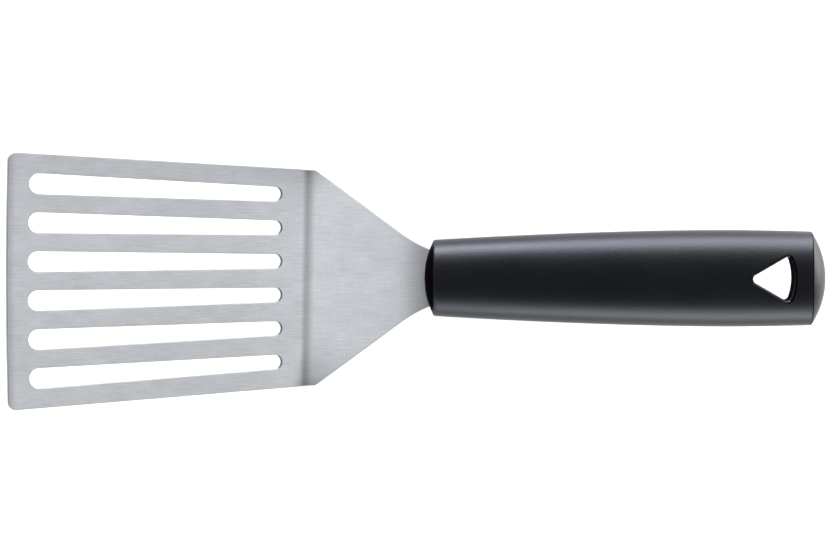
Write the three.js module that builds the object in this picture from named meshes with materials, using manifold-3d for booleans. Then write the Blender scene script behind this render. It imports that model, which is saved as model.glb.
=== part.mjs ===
// Slotted kitchen spatula: a bent stainless blade whose tang is clamped inside a moulded handle.
//
// All sizes are in millimetres. The tool is drawn with X running from the bend to the rear of the
// handle, Y across the blade and Z up. X = 0 is the end of the bend, and the neck and the tang
// have their middle plane at Z = 0. At the end the tool is laid down on the bend and the handle.

import * as THREE from "three";
import { mergeVertices } from "three/addons/utils/BufferGeometryUtils.js";
import Module from "manifold-3d";

const { clamp, degToRad, lerp } = THREE.MathUtils;

// Blade, pressed from sheet
const SHEET_THICKNESS = 1.2;
const BLADE_LENGTH = 96;
const BLADE_FRONT_WIDTH = 78.6;
const BLADE_REAR_WIDTH = 67.7;
const FRONT_CROWN = 0.5;
const FRONT_CORNER_RADIUS = 2.6;
const BEND_ANGLE = degToRad(24);
const BEND_INSIDE_RADIUS = 9;

// Slots, which fan out and widen towards the front
const SLOT_COUNT = 6;
const SLOT_FRONT_WIDTH = 6.2;
const SLOT_REAR_WIDTH = 4.5;
const FRONT_BAR = 6.65;
const EDGE_BAR = 6;
const REAR_BAR = 5.95;

// Neck and tang
const NECK_LENGTH = 37.7;
const NECK_FLARE = 2.5;
const NECK_FILLET_RADIUS = 40;
const SHOULDER_LENGTH = 1.3;
const SHOULDER_RADIUS = 2.5;
const TANG_WIDTH = 12.2;
const TANG_CORNER_RADIUS = 3;

// Handle, with its widest place near the rear
const GRIP_LENGTH = 117.8;
const GRIP_SHOULDER = 3.25;
const GRIP_WIDEST_WIDTH = 30.1;
const GRIP_REAR_WIDTH = 29.2;
const GRIP_FRONT_THICKNESS = 17;
const GRIP_WIDEST_THICKNESS = 20;
const GRIP_REAR_THICKNESS = 19.4;
const WIDEST_SETBACK = 26.9;
const SWELL_POWER = 1.7;
const SECTION_POWER = 2.3;
const SKIN_THICKNESS = 2.8;
const RIM_RADIUS = 0.5;

// End caps
const FRONT_DOME_HEIGHT = 2.3;
const REAR_DOME_HEIGHT = 4.15;
const SPIGOT_LENGTH = 2;
const REAR_SPIGOT_INSET = 4;

// Hanging hole, a triangle with round corners and a bulging base
const HOLE_LENGTH = 12.8;
const HOLE_SIDE_ANGLE = degToRad(30);
const HOLE_BASE_CROWN = 1.3;
const HOLE_CORNER_RADIUS = 1.4;
const HOLE_FRONT_WALL = 5;
const HOLE_REAR_WALL = 3.6;

// Core and the pins that lock the tang in it
const TANG_END_WALL = 18;
const PIN_DIAMETER = 4;
const PIN_MARGIN = 8;
const PIN_END_COVER = 0.6;

// Gap left between pieces that fit together
const CLEARANCE = 0.25;

// Fineness of the facets
const MERGE_DISTANCE = 1e-4;
const CHORD_ERROR = 0.02;
const BEND_STEPS = 6;
const SECTION_STEPS = 48;
const GRIP_STEPS = 22;
const CORE_STEPS = 10;
const DOME_STEPS = 7;
const RIM_STEPS = 3;
const PIN_STEPS = 24;

// Places worked out from the sizes above
const halfSheet = SHEET_THICKNESS / 2;
const bendRadius = BEND_INSIDE_RADIUS + halfSheet;
const bendLength = bendRadius * BEND_ANGLE;
const bladeRear = -bendLength;
const bladeFront = bladeRear - BLADE_LENGTH;
const gripFrontWidth = TANG_WIDTH + 2 * (NECK_FLARE + GRIP_SHOULDER);
const widestAt = GRIP_LENGTH - WIDEST_SETBACK;
const recessFront = GRIP_LENGTH - SPIGOT_LENGTH - CLEARANCE;
const holeRear = recessFront - HOLE_REAR_WALL;
const holeFront = holeRear - HOLE_LENGTH;
const coreFront = SPIGOT_LENGTH + CLEARANCE;
const coreRear = holeFront - HOLE_FRONT_WALL;
const tangRear = NECK_LENGTH + coreRear - TANG_END_WALL;

const wasm = await Module();
wasm.setup();

// A closed geometry as a solid that can be joined and cut.
function solidOf(geometry) {
  const bare = new THREE.BufferGeometry();
  bare.setAttribute("position", geometry.getAttribute("position"));
  bare.setIndex(geometry.getIndex());
  const merged = mergeVertices(bare, MERGE_DISTANCE);
  const mesh = new wasm.Mesh({
    numProp: 3,
    vertProperties: merged.getAttribute("position").array,
    triVerts: new Uint32Array(merged.getIndex().array),
  });
  return new wasm.Manifold(mesh);
}

// The geometry of a solid, with flat facets.
function geometryOf(solid) {
  const { vertProperties, triVerts } = solid.getMesh();
  const shared = new THREE.BufferGeometry();
  shared.setAttribute("position", new THREE.BufferAttribute(vertProperties, 3));
  shared.setIndex(new THREE.BufferAttribute(triVerts, 1));
  const geometry = shared.toNonIndexed();
  geometry.computeVertexNormals();
  return geometry;
}

// Points along an arc, close enough together to stay within the chord error.
function arcPoints(centre, radius, from, sweep) {
  const step = 2 * Math.acos(1 - CHORD_ERROR / radius);
  const count = Math.max(1, Math.ceil(Math.abs(sweep) / step));
  const { x, y } = centre;
  return new THREE.EllipseCurve(x, y, radius, radius, from, from + sweep, sweep < 0).getPoints(count);
}

// A corner of an outline, with the radius that rounds it.
function corner(x, y, radius = 0) {
  return { at: new THREE.Vector2(x, y), radius };
}

// A closed outline through the corners, each one rounded by an arc that touches both its edges.
function roundedOutline(corners) {
  return corners.flatMap(({ at, radius }, i) => {
    if (radius === 0) return [at];
    const back = corners.at(i - 1).at.clone().sub(at).normalize();
    const ahead = corners[(i + 1) % corners.length].at.clone().sub(at).normalize();
    const half = Math.acos(clamp(back.dot(ahead), -1, 1)) / 2;
    const inward = back.clone().add(ahead).setLength(radius / Math.sin(half));
    const centre = at.clone().add(inward);
    const start = back.clone().multiplyScalar(radius / Math.tan(half)).sub(inward);
    const turn = Math.PI - 2 * half;
    return arcPoints(centre, radius, start.angle(), ahead.cross(back) > 0 ? turn : -turn);
  });
}

// A mirrored outline: the given corners, then the same corners on the other side of the X axis.
function mirroredCorners(corners) {
  const others = corners.map(({ at, radius }) => corner(at.x, -at.y, radius));
  return [...corners, ...others.reverse()];
}

// Half the width of the blade's blank, whose straight edges run on across the bend to the shoulder.
function bladeHalfWidth(x) {
  return lerp(BLADE_REAR_WIDTH, BLADE_FRONT_WIDTH, (bladeRear - x) / BLADE_LENGTH) / 2;
}

// The flat front part of the blank, with a front edge that bulges by the crown.
function bladeOutline() {
  const half = BLADE_FRONT_WIDTH / 2;
  const crownRadius = ((half - 2 * FRONT_CORNER_RADIUS) * half) / (2 * FRONT_CROWN);
  return roundedOutline([
    corner(bladeRear, bladeHalfWidth(bladeRear)),
    corner(bladeFront + FRONT_CROWN, half, FRONT_CORNER_RADIUS),
    corner(bladeFront - FRONT_CROWN, 0, crownRadius),
    corner(bladeFront + FRONT_CROWN, -half, FRONT_CORNER_RADIUS),
    corner(bladeRear, -bladeHalfWidth(bladeRear)),
  ]);
}

// One slot: two round ends joined by straight sides. The row share runs from -1 to 1 across the blade.
function slotOutline(rowShare) {
  const place = (x, width) => {
    const outermost = bladeHalfWidth(x) - EDGE_BAR - width / 2;
    return new THREE.Vector2(x, rowShare * outermost);
  };
  const crownFall = FRONT_CROWN * rowShare ** 2;
  const front = place(bladeFront + crownFall + FRONT_BAR + SLOT_FRONT_WIDTH / 2, SLOT_FRONT_WIDTH);
  const rear = place(bladeRear - REAR_BAR - SLOT_REAR_WIDTH / 2, SLOT_REAR_WIDTH);
  const across = rear.clone().sub(front).angle() + Math.PI / 2;
  return [
    ...arcPoints(front, SLOT_FRONT_WIDTH / 2, across, Math.PI),
    ...arcPoints(rear, SLOT_REAR_WIDTH / 2, across + Math.PI, Math.PI),
  ];
}

// A fillet circle turns the neck's taper into the side of the tang. At the front rim of the handle it
// stands clear of the tang's side by the flare, and the taper is its tangent from the shoulder.
function neckTaper() {
  const shoulder = new THREE.Vector2(SHOULDER_LENGTH, bladeHalfWidth(SHOULDER_LENGTH));
  const reach = Math.sqrt(NECK_FLARE * (2 * NECK_FILLET_RADIUS - NECK_FLARE));
  const centre = new THREE.Vector2(NECK_LENGTH + reach, TANG_WIDTH / 2 + NECK_FILLET_RADIUS);
  const toCentre = centre.clone().sub(shoulder);
  const angle = Math.asin(NECK_FILLET_RADIUS / toCentre.length()) - Math.atan2(toCentre.y, toCentre.x);
  return { shoulder, angle, filletRear: centre.x };
}

// The flat rear part of the blank, neck and tang, grown all round by a clearance.
function neckOutline(grow) {
  const { shoulder, angle } = neckTaper();
  const half = TANG_WIDTH / 2 + grow;
  const outward = new THREE.Vector2(Math.sin(angle), Math.cos(angle));
  const start = shoulder.clone().addScaledVector(outward, grow);
  const throat = start.x + (start.y - half) / Math.tan(angle);
  return roundedOutline(
    mirroredCorners([
      corner(0, bladeHalfWidth(0) + grow),
      corner(start.x, start.y, SHOULDER_RADIUS),
      corner(throat, half, NECK_FILLET_RADIUS - grow),
      corner(tangRear + grow, half, TANG_CORNER_RADIUS + grow),
    ]),
  );
}

// A point of the blank after bending: X along the sheet, Y across it, and a height above its middle.
function bendPoint(x, y, height) {
  if (x >= 0) return new THREE.Vector3(x, y, height);
  const turn = Math.min(-x / bendRadius, BEND_ANGLE);
  const beyond = Math.max(bladeRear - x, 0);
  return new THREE.Vector3(
    -(bendRadius - height) * Math.sin(turn) - beyond * Math.cos(turn),
    y,
    bendRadius - (bendRadius - height) * Math.cos(turn) + beyond * Math.sin(turn),
  );
}

// A bent sheet from flat panels that share their edges: upper and lower faces, with walls all round.
function bentSheet(panels) {
  const blank = [];
  const indexAt = new Map();
  const indexOf = (point) => {
    const key = point.toArray().map((value) => value.toFixed(6)).join();
    if (!indexAt.has(key)) indexAt.set(key, blank.push(point) - 1);
    return indexAt.get(key);
  };
  const faces = panels.flatMap(({ contour, holes = [] }) => {
    const points = [contour, ...holes].flat();
    return THREE.ShapeUtils.triangulateShape(contour, holes).map((face) => {
      const corners = face.map((i) => points[i]);
      return (THREE.ShapeUtils.area(corners) < 0 ? corners.reverse() : corners).map(indexOf);
    });
  });

  const edges = faces.flatMap(([a, b, c]) => [[a, b], [b, c], [c, a]]);
  const known = new Set(edges.map(String));
  const rims = edges.filter(([a, b]) => !known.has(String([b, a])));
  const under = blank.length;
  const index = [
    faces,
    faces.map(([a, b, c]) => [under + c, under + b, under + a]),
    rims.map(([a, b]) => [under + a, under + b, b, under + a, b, a]),
  ].flat(2);
  const upper = blank.map(({ x, y }) => bendPoint(x, y, halfSheet));
  const lower = blank.map(({ x, y }) => bendPoint(x, y, -halfSheet));
  return new THREE.BufferGeometry().setFromPoints([...upper, ...lower]).setIndex(index);
}

// Half the width and half the thickness of the grip at a distance behind its front rim.
function gripHalfSizes(x) {
  const span = x < widestAt ? widestAt : WIDEST_SETBACK;
  const fall = clamp(Math.abs(x - widestAt) / span, 0, 1) ** SWELL_POWER;
  const [endWidth, endThickness] =
    x < widestAt ? [gripFrontWidth, GRIP_FRONT_THICKNESS] : [GRIP_REAR_WIDTH, GRIP_REAR_THICKNESS];
  return {
    width: lerp(GRIP_WIDEST_WIDTH, endWidth, fall) / 2,
    thickness: lerp(GRIP_WIDEST_THICKNESS, endThickness, fall) / 2,
  };
}

// Half sizes drawn in all round by an inset.
function drawnIn({ width, thickness }, inset) {
  return { width: width - inset, thickness: thickness - inset };
}

// A ring of points on the handle's section, a superellipse.
function sectionRing(x, { width, thickness }) {
  const round = (value) => Math.sign(value) * Math.abs(value) ** (2 / SECTION_POWER);
  return Array.from({ length: SECTION_STEPS }, (_, i) => {
    const angle = (2 * Math.PI * i) / SECTION_STEPS;
    return new THREE.Vector3(x, width * round(Math.cos(angle)), thickness * round(Math.sin(angle)));
  });
}

// A ring that follows the grip at a distance behind its front rim, drawn in by an inset.
function gripRing(x, inset) {
  return sectionRing(x, drawnIn(gripHalfSizes(x), inset));
}

// A solid skinned over rings of equal count, ordered along X, with flat ends.
function loft(rings) {
  const count = rings[0].length;
  const points = rings.flat();
  const index = [];
  for (let ring = 1; ring < rings.length; ring++) {
    for (let i = 0; i < count; i++) {
      const next = (i + 1) % count;
      const [a, b] = [(ring - 1) * count + i, (ring - 1) * count + next];
      index.push(a, b, b + count, a, b + count, a + count);
    }
  }
  for (const [ring, turned] of [[rings[0], true], [rings.at(-1), false]]) {
    const first = turned ? 0 : points.length - ring.length;
    for (let i = 2; i < count; i++) {
      index.push(first, first + (turned ? i : i - 1), first + (turned ? i - 1 : i));
    }
  }
  return new THREE.BufferGeometry().setFromPoints(points).setIndex(index);
}

// Evenly spaced values from one end to the other.
function spread(from, to, steps) {
  return Array.from({ length: steps + 1 }, (_, i) => lerp(from, to, i / steps));
}

// Rings that round the grip off at one of its rims, from the rim plane inwards.
function rimRings(rim, inwards) {
  return spread(0, Math.PI / 2, RIM_STEPS).map((turn) => {
    const x = rim + inwards * RIM_RADIUS * (1 - Math.cos(turn));
    return gripRing(x, RIM_RADIUS * (1 - Math.sin(turn)));
  });
}

// Rings of a domed cap, from its base to its top. The cap is a slice of a ball, squeezed to the section.
function domeRings(base, sizes, height, direction) {
  const ball = (sizes.width ** 2 + height ** 2) / (2 * height);
  const baseDepth = Math.sqrt(ball ** 2 - sizes.width ** 2);
  return spread(1, 1 / DOME_STEPS, DOME_STEPS - 1).map((share) => {
    const rise = Math.sqrt(ball ** 2 - (share * sizes.width) ** 2) - baseDepth;
    const shrunk = { width: share * sizes.width, thickness: share * sizes.thickness };
    return sectionRing(base + direction * rise, shrunk);
  });
}

// The tang with its clearance, as a cutter in the handle's frame.
function tangCutter() {
  const height = SHEET_THICKNESS + 2 * CLEARANCE;
  const shape = new THREE.Shape(neckOutline(CLEARANCE));
  const geometry = new THREE.ExtrudeGeometry(shape, { depth: height, bevelEnabled: false });
  return solidOf(geometry.translate(-NECK_LENGTH, 0, -height / 2));
}

// An upright pin at a distance behind the front rim.
function pinGeometry(x, radius, length) {
  const geometry = new THREE.CylinderGeometry(radius, radius, length, PIN_STEPS);
  return geometry.rotateX(Math.PI / 2).translate(x, 0, 0);
}

// The two pins sit in the straight part of the tang, one near each of its ends.
const pinPlaces = {
  tang_pin_front: neckTaper().filletRear - NECK_LENGTH + PIN_MARGIN,
  tang_pin_rear: tangRear - NECK_LENGTH - PIN_MARGIN,
};

function bladeGeometry() {
  const rows = spread(-1, 1, SLOT_COUNT - 1);
  const bendLines = spread(bladeRear, 0, BEND_STEPS);
  const edgePoint = (x, side) => new THREE.Vector2(x, side * bladeHalfWidth(x));
  const strips = bendLines.slice(1).map((x, i) => ({
    contour: [edgePoint(bendLines[i], -1), edgePoint(x, -1), edgePoint(x, 1), edgePoint(bendLines[i], 1)],
  }));
  const pinHoles = Object.values(pinPlaces).map((x) => {
    const centre = new THREE.Vector2(NECK_LENGTH + x, 0);
    return arcPoints(centre, PIN_DIAMETER / 2 + CLEARANCE, 0, 2 * Math.PI).slice(1);
  });
  return bentSheet([
    { contour: bladeOutline(), holes: rows.map(slotOutline) },
    ...strips,
    { contour: neckOutline(0), holes: pinHoles },
  ]);
}

function frontCapGeometry() {
  const base = -CLEARANCE;
  const rim = gripHalfSizes(0);
  const spigotInset = SKIN_THICKNESS + CLEARANCE;
  const dome = loft(domeRings(base, drawnIn(rim, RIM_RADIUS), FRONT_DOME_HEIGHT, -1).reverse());
  const spigot = loft([
    sectionRing(base - CLEARANCE, drawnIn(rim, spigotInset)),
    gripRing(SPIGOT_LENGTH, spigotInset),
  ]);
  return geometryOf(solidOf(dome).add(solidOf(spigot)).subtract(tangCutter()));
}

function rearCapGeometry() {
  const base = GRIP_LENGTH + CLEARANCE;
  const rim = gripHalfSizes(GRIP_LENGTH);
  const dome = loft(domeRings(base, drawnIn(rim, RIM_RADIUS), REAR_DOME_HEIGHT, 1));
  const spigot = loft([
    gripRing(GRIP_LENGTH - SPIGOT_LENGTH, REAR_SPIGOT_INSET),
    sectionRing(base + CLEARANCE, drawnIn(rim, REAR_SPIGOT_INSET)),
  ]);
  return geometryOf(solidOf(dome).add(solidOf(spigot)));
}

// The hanging hole as an upright cutter through the tail of the grip.
function holeCutter() {
  const apex = holeFront - HOLE_CORNER_RADIUS * (1 / Math.sin(HOLE_SIDE_ANGLE) - 1);
  const base = holeRear - HOLE_BASE_CROWN;
  const half = (base - apex) * Math.tan(HOLE_SIDE_ANGLE);
  const baseRadius = ((half - HOLE_CORNER_RADIUS) * half) / (2 * HOLE_BASE_CROWN);
  const outline = roundedOutline([
    corner(apex, 0, HOLE_CORNER_RADIUS),
    corner(base, -half, HOLE_CORNER_RADIUS),
    corner(base + 2 * HOLE_BASE_CROWN, 0, baseRadius),
    corner(base, half, HOLE_CORNER_RADIUS),
  ]);
  const depth = 2 * GRIP_WIDEST_THICKNESS;
  const geometry = new THREE.ExtrudeGeometry(new THREE.Shape(outline), { depth, bevelEnabled: false });
  return solidOf(geometry.translate(0, 0, -depth / 2));
}

function gripGeometry() {
  const body = spread(RIM_RADIUS, GRIP_LENGTH - RIM_RADIUS, GRIP_STEPS).slice(1, -1);
  const outside = loft([
    ...rimRings(0, 1),
    ...body.map((x) => gripRing(x, 0)),
    ...rimRings(GRIP_LENGTH, -1).reverse(),
  ]);
  const cavity = loft([
    sectionRing(-SKIN_THICKNESS, drawnIn(gripHalfSizes(0), SKIN_THICKNESS)),
    ...spread(0, coreRear + CLEARANCE, CORE_STEPS).map((x) => gripRing(x, SKIN_THICKNESS)),
  ]);
  const recessInset = REAR_SPIGOT_INSET - CLEARANCE;
  const recess = loft([
    gripRing(recessFront, recessInset),
    sectionRing(GRIP_LENGTH + SPIGOT_LENGTH, drawnIn(gripHalfSizes(GRIP_LENGTH), recessInset)),
  ]);
  return geometryOf(
    solidOf(outside).subtract(solidOf(cavity)).subtract(solidOf(recess)).subtract(holeCutter()),
  );
}

// Half of the core, above the tang or below it, with a bed for the tang and holes for the pins.
function coreGeometry(side) {
  const inset = SKIN_THICKNESS + CLEARANCE;
  const whole = loft(spread(coreFront, coreRear, CORE_STEPS).map((x) => gripRing(x, inset)));
  const block = GRIP_LENGTH + GRIP_WIDEST_WIDTH;
  const middle = side * (block / 2 + CLEARANCE / 2);
  const halfSpace = new THREE.BoxGeometry(2 * block, block, block).translate(0, 0, middle);
  let core = solidOf(whole).intersect(solidOf(halfSpace)).subtract(tangCutter());
  for (const x of Object.values(pinPlaces)) {
    core = core.subtract(solidOf(pinGeometry(x, PIN_DIAMETER / 2 + CLEARANCE, block)));
  }
  return geometryOf(core);
}

// A pin reaches through both halves of the core and ends just under the core's surface.
function tangPinGeometry(x) {
  const halfLength = gripHalfSizes(x).thickness - SKIN_THICKNESS - CLEARANCE - PIN_END_COVER;
  return pinGeometry(x, PIN_DIAMETER / 2, 2 * halfLength);
}

// How far the tool tips when it lies on its bend and on the underside of its handle.
function restAngle() {
  const outerRadius = bendRadius + halfSheet;
  const angles = spread(RIM_RADIUS, GRIP_LENGTH - RIM_RADIUS, GRIP_STEPS).map((x) => {
    const rise = gripHalfSizes(x).thickness + bendRadius;
    const reach = NECK_LENGTH + x;
    return Math.atan2(rise, reach) - Math.asin(outerRadius / Math.hypot(rise, reach));
  });
  return Math.max(...angles);
}

function addPiece(parent, name, geometry, look) {
  const piece = new THREE.Mesh(geometry, new THREE.MeshStandardMaterial(look));
  piece.name = name;
  parent.add(piece);
}

const brushedSteel = { color: 0xc2c6ca, roughness: 0.34, metalness: 1 };
const blackPlastic = { color: 0x1b1d21, roughness: 0.42, metalness: 0 };
const greyPlastic = { color: 0x4a4d52, roughness: 0.6, metalness: 0 };
const pinSteel = { color: 0x9a9da1, roughness: 0.3, metalness: 1 };

const handle = new THREE.Group();
handle.position.x = NECK_LENGTH;
addPiece(handle, "front_cap", frontCapGeometry(), blackPlastic);
addPiece(handle, "grip", gripGeometry(), blackPlastic);
addPiece(handle, "rear_cap", rearCapGeometry(), blackPlastic);
addPiece(handle, "core_upper", coreGeometry(1), greyPlastic);
addPiece(handle, "core_lower", coreGeometry(-1), greyPlastic);
for (const [name, x] of Object.entries(pinPlaces)) {
  addPiece(handle, name, tangPinGeometry(x), pinSteel);
}

const tool = new THREE.Group();
tool.rotation.y = -restAngle();
addPiece(tool, "blade", bladeGeometry(), brushedSteel);
tool.add(handle);

// The part's origin is on the surface it lies on, below the middle of its box.
const spatula = new THREE.Group();
spatula.add(tool);
const box = new THREE.Box3().setFromObject(spatula, true);
const middle = box.getCenter(new THREE.Vector3());
tool.position.set(-middle.x, -middle.y, -box.min.z);

export default spatula;
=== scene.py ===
"""Looks of a slotted kitchen spatula: brushed steel blade, black moulded handle, pale floor, soft light.

All sizes are in metres. Shapes are worked out in the tool's own frame: X runs from the bend of the blade
to the rear of the handle, Y across the blade, Z up, X = 0 is the end of the bend, and the neck's middle
plane is Z = 0. Each shape is then laid down where the frame has the tool.
"""

import math

import bmesh
import bpy
import numpy as np
from mathutils import Matrix, Vector
from mathutils.geometry import delaunay_2d_cdt


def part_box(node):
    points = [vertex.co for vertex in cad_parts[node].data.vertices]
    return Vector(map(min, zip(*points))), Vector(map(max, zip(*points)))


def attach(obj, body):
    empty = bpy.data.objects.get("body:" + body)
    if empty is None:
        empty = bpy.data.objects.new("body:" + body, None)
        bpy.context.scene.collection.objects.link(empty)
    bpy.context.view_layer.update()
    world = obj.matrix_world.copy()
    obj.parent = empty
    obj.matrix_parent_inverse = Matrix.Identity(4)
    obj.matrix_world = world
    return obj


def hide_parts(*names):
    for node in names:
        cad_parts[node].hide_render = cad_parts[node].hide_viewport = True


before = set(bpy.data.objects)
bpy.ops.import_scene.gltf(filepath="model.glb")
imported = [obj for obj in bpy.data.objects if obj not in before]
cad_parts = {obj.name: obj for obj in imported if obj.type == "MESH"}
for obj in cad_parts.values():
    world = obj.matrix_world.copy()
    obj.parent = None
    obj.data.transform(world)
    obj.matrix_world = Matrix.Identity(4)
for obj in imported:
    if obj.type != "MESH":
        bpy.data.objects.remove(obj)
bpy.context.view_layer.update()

MM = 0.001

# Blade, pressed from sheet
SHEET_THICKNESS = 1.2 * MM
BLADE_LENGTH = 96 * MM
BLADE_FRONT_WIDTH = 78.6 * MM
BLADE_REAR_WIDTH = 67.7 * MM
FRONT_CROWN = 0.5 * MM
FRONT_CORNER_RADIUS = 2.6 * MM
BEND_ANGLE = math.radians(24)
BEND_INSIDE_RADIUS = 9 * MM
EDGE_RADIUS = 0.22 * MM
EDGE_STRIP = 0.4 * MM

# Slots, which fan out and widen towards the front
SLOT_COUNT = 6
SLOT_FRONT_WIDTH = 6.2 * MM
SLOT_REAR_WIDTH = 4.5 * MM
FRONT_BAR = 6.65 * MM
EDGE_BAR = 6 * MM
REAR_BAR = 5.95 * MM

# Neck and tang
NECK_LENGTH = 37.7 * MM
NECK_FLARE = 2.5 * MM
NECK_FILLET_RADIUS = 40 * MM
SHOULDER_LENGTH = 1.3 * MM
SHOULDER_RADIUS = 2.5 * MM
TANG_WIDTH = 12.2 * MM
TANG_CORNER_RADIUS = 3 * MM
TANG_END_WALL = 18 * MM

# Handle, with its widest place near the rear
GRIP_LENGTH = 117.8 * MM
GRIP_SHOULDER = 3.25 * MM
GRIP_WIDEST_WIDTH = 30.1 * MM
GRIP_REAR_WIDTH = 29.2 * MM
GRIP_FRONT_THICKNESS = 17 * MM
GRIP_WIDEST_THICKNESS = 20 * MM
GRIP_REAR_THICKNESS = 19.4 * MM
WIDEST_SETBACK = 26.9 * MM
SWELL_POWER = 1.7
SECTION_POWER = 2.3
SKIN_THICKNESS = 2.8 * MM
RIM_RADIUS = 0.5 * MM
FRONT_RIM_RADIUS = 0.9 * MM
REAR_RIM_RADIUS = 0.12 * MM
# The front rim's part beside the collar is in painted shade
DARK_RIM_DEPTH = 0.3 * MM  # of the front rim's dark part, beside the collar

# End caps
FRONT_DOME_HEIGHT = 2.3 * MM
REAR_DOME_HEIGHT = 4.15 * MM
SPIGOT_LENGTH = 2 * MM
REAR_SPIGOT_INSET = 4 * MM
NECK_SLOT_POWER = 8

# Hanging hole, a triangle with round corners and a bulging base
HOLE_LENGTH = 12.8 * MM
HOLE_SIDE_ANGLE = math.radians(30)
HOLE_BASE_CROWN = 1.3 * MM
HOLE_CORNER_RADIUS = 1.4 * MM
HOLE_FRONT_WALL = 5 * MM
HOLE_REAR_WALL = 3.6 * MM
HOLE_RIM_RADIUS = 0.8 * MM
HOLE_WALL_STRIP = 0.3 * MM
HOLE_BORDER = 3.2 * MM
HOLE_BORDER_ANGLE = math.radians(48)

# Pins, the gap left between pieces that fit together, and the finer seam that shows at the collar
PIN_DIAMETER = 4 * MM
PIN_MARGIN = 8 * MM
CLEARANCE = 0.25 * MM
COLLAR_SEAM = 0.03 * MM

# Light and shade painted on the steel. A painted shade line runs along the bend, in a wide painted sheen of
# light, with painted shade at the line's ends and along the blade's edges near them; the widest of these
# darkens the blade's upper side. A dark mark runs along the front edge, and painted shade darkens the neck
# before the collar. A tone below 1 darkens, and one above 1 lightens. A fading is how many times faster
# than across it a mark ends ahead of the bend's line, and behind it.
PAINTED_SHEEN_MIDDLE = 3 * MM
PAINTED_SHEEN_REACH = 38 * MM
PAINTED_SHEEN_TONE = 1.12
BEND_SHADE_SHARE = 0.42
BEND_SHADE_SLANT = 0.018
BEND_SHADE_REACH = 2.5 * MM
BEND_SHADE_TONE = 0.65
BEND_SHADE_FADING = (1.25, 0.85)
EDGE_SHADES = (  # side across, reach, tone, fading
    (1, 26 * MM, 0.91, (0.05, 3)),
    (1, 14 * MM, 0.82, (0.5, 0.9)),
    (1, 4 * MM, 0.75, (0.8, 0.3)),
    (-1, 4 * MM, 0.78, (0.8, 0.3)),
    (-1, 18 * MM, 0.68, (3.2, 0.4)),
)
FRONT_MARK_REACH = 3 * MM
FRONT_MARK_TONE = 0.79
COLLAR_SHADE_REACH = 9.5 * MM
COLLAR_SHADE_TONE = 0.66

# Darkest and lightest colour of each finish
STEEL_COLOURS = (0.505, 0.525, 0.535), (0.716, 0.74, 0.75)
EDGE_COLOURS = (0.4, 0.39, 0.38), (0.55, 0.54, 0.53)
# Painted shade: a darker copy of the cut steel for the holes' rear walls
SHADED_SLOT_COLOURS = (0.14, 0.137, 0.133), (0.22, 0.216, 0.212)
PIN_COLOURS = (0.44, 0.45, 0.46), (0.56, 0.57, 0.58)
BLACK_COLOURS = (0.0035, 0.0042, 0.0056), (0.005, 0.0058, 0.0075)
# Painted shade: a copy of the black that hardly reflects, for the collar, the seams and the dark rims
SHADE_BLACK_COLOURS = (0.0022, 0.0018, 0.002), (0.0032, 0.0026, 0.0029)
# Lighter than the black skin: painted light on the hole's wall and a painted highlight on its lower rim
LIGHTENED_WALL_COLOURS = (0.038, 0.039, 0.043), (0.07, 0.073, 0.08)
CORE_COLOURS = (0.07, 0.072, 0.078), (0.09, 0.093, 0.1)

# Lowest and highest roughness of the steel, and middle roughness of the plastic, with how far it strays
STEEL_ROUGHNESS = (0.6, 0.68)
EDGE_ROUGHNESS = (0.5, 0.65)
PIN_ROUGHNESS = (0.26, 0.34)
SKIN_ROUGHNESS = 0.38
HOLE_RIM_ROUGHNESS = 0.25
CAP_ROUGHNESS = 0.36
SHADE_BLACK_ROUGHNESS = 0.5
CORE_ROUGHNESS = 0.55
PLASTIC_STRAY = 0.03

# Shader values of the finishes whose reflection isn't the usual one
BRUSHED_GLOSS = {"Anisotropic": 0.5, "Anisotropic_Rotation": 0.25}
SKIN_GLOSS = {"Specular_IOR_Level": 0.6, "Specular_Tint": (0.86, 0.89, 1, 1)}
SHADE_BLACK_GLOSS = {"Specular_IOR_Level": 0.005}
WALL_GLOSS = {"Specular_IOR_Level": 0, "Roughness": 1}

# Grain of the finishes, in cells to the metre along each axis
LONG_STROKES = (150, 2600, 1)
CROSS_STROKES = (2200, 200, 1)
STEEL_CLOUDS = (70, 140, 1)
TORN_GRAIN = (2500, 2500, 900)
PIN_RINGS = (150, 150, 5000)
WALL_GRAIN = (1600, 1600, 120)
PLASTIC_CLOUDS = (45, 45, 45)
SKIN_GRAIN = (2400, 2400, 2400)
CAP_GRAIN = (1500, 1500, 1500)
CORE_GRAIN = (1800, 1800, 1800)

# Depth of the grain, and shares of one grain mixed into another
STROKE_DEPTH = 0.004 * MM
TORN_DEPTH = 0.01 * MM
SKIN_DEPTH = 0.045 * MM
CAP_DEPTH = 0.03 * MM
PLAIN_DEPTH = 0.06 * MM
CROSS_SHARE = 0.22
STEEL_CLOUD_SHARE = 0.25
PLASTIC_CLOUD_SHARE = 0.5

# Middle range of a noise, and the strength and number of its finer layers
NOISE_RANGE = (0.3, 0.7)
NOISE_ROUGHNESS = 0.6
FEW_LAYERS = 2
MORE_LAYERS = 3

# Sockets of a colour mix by place, since the node has hidden ones with the same names
MIX_SHARE, MIX_FIRST, MIX_SECOND = 0, 6, 7
MIX_RESULT = 2

# Places of the finishes in a piece's list
BLADE_FACE, BLADE_EDGE, SLOT_END = range(3)
GRIP_SKIN, HOLE_WALL, HOLE_RIM, GRIP_SEAM = range(4)
CAP_DOME, CAP_SEAM = range(2)

# Least part of a normal along an axis, for a wall to face that way
FACING = 0.5

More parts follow.
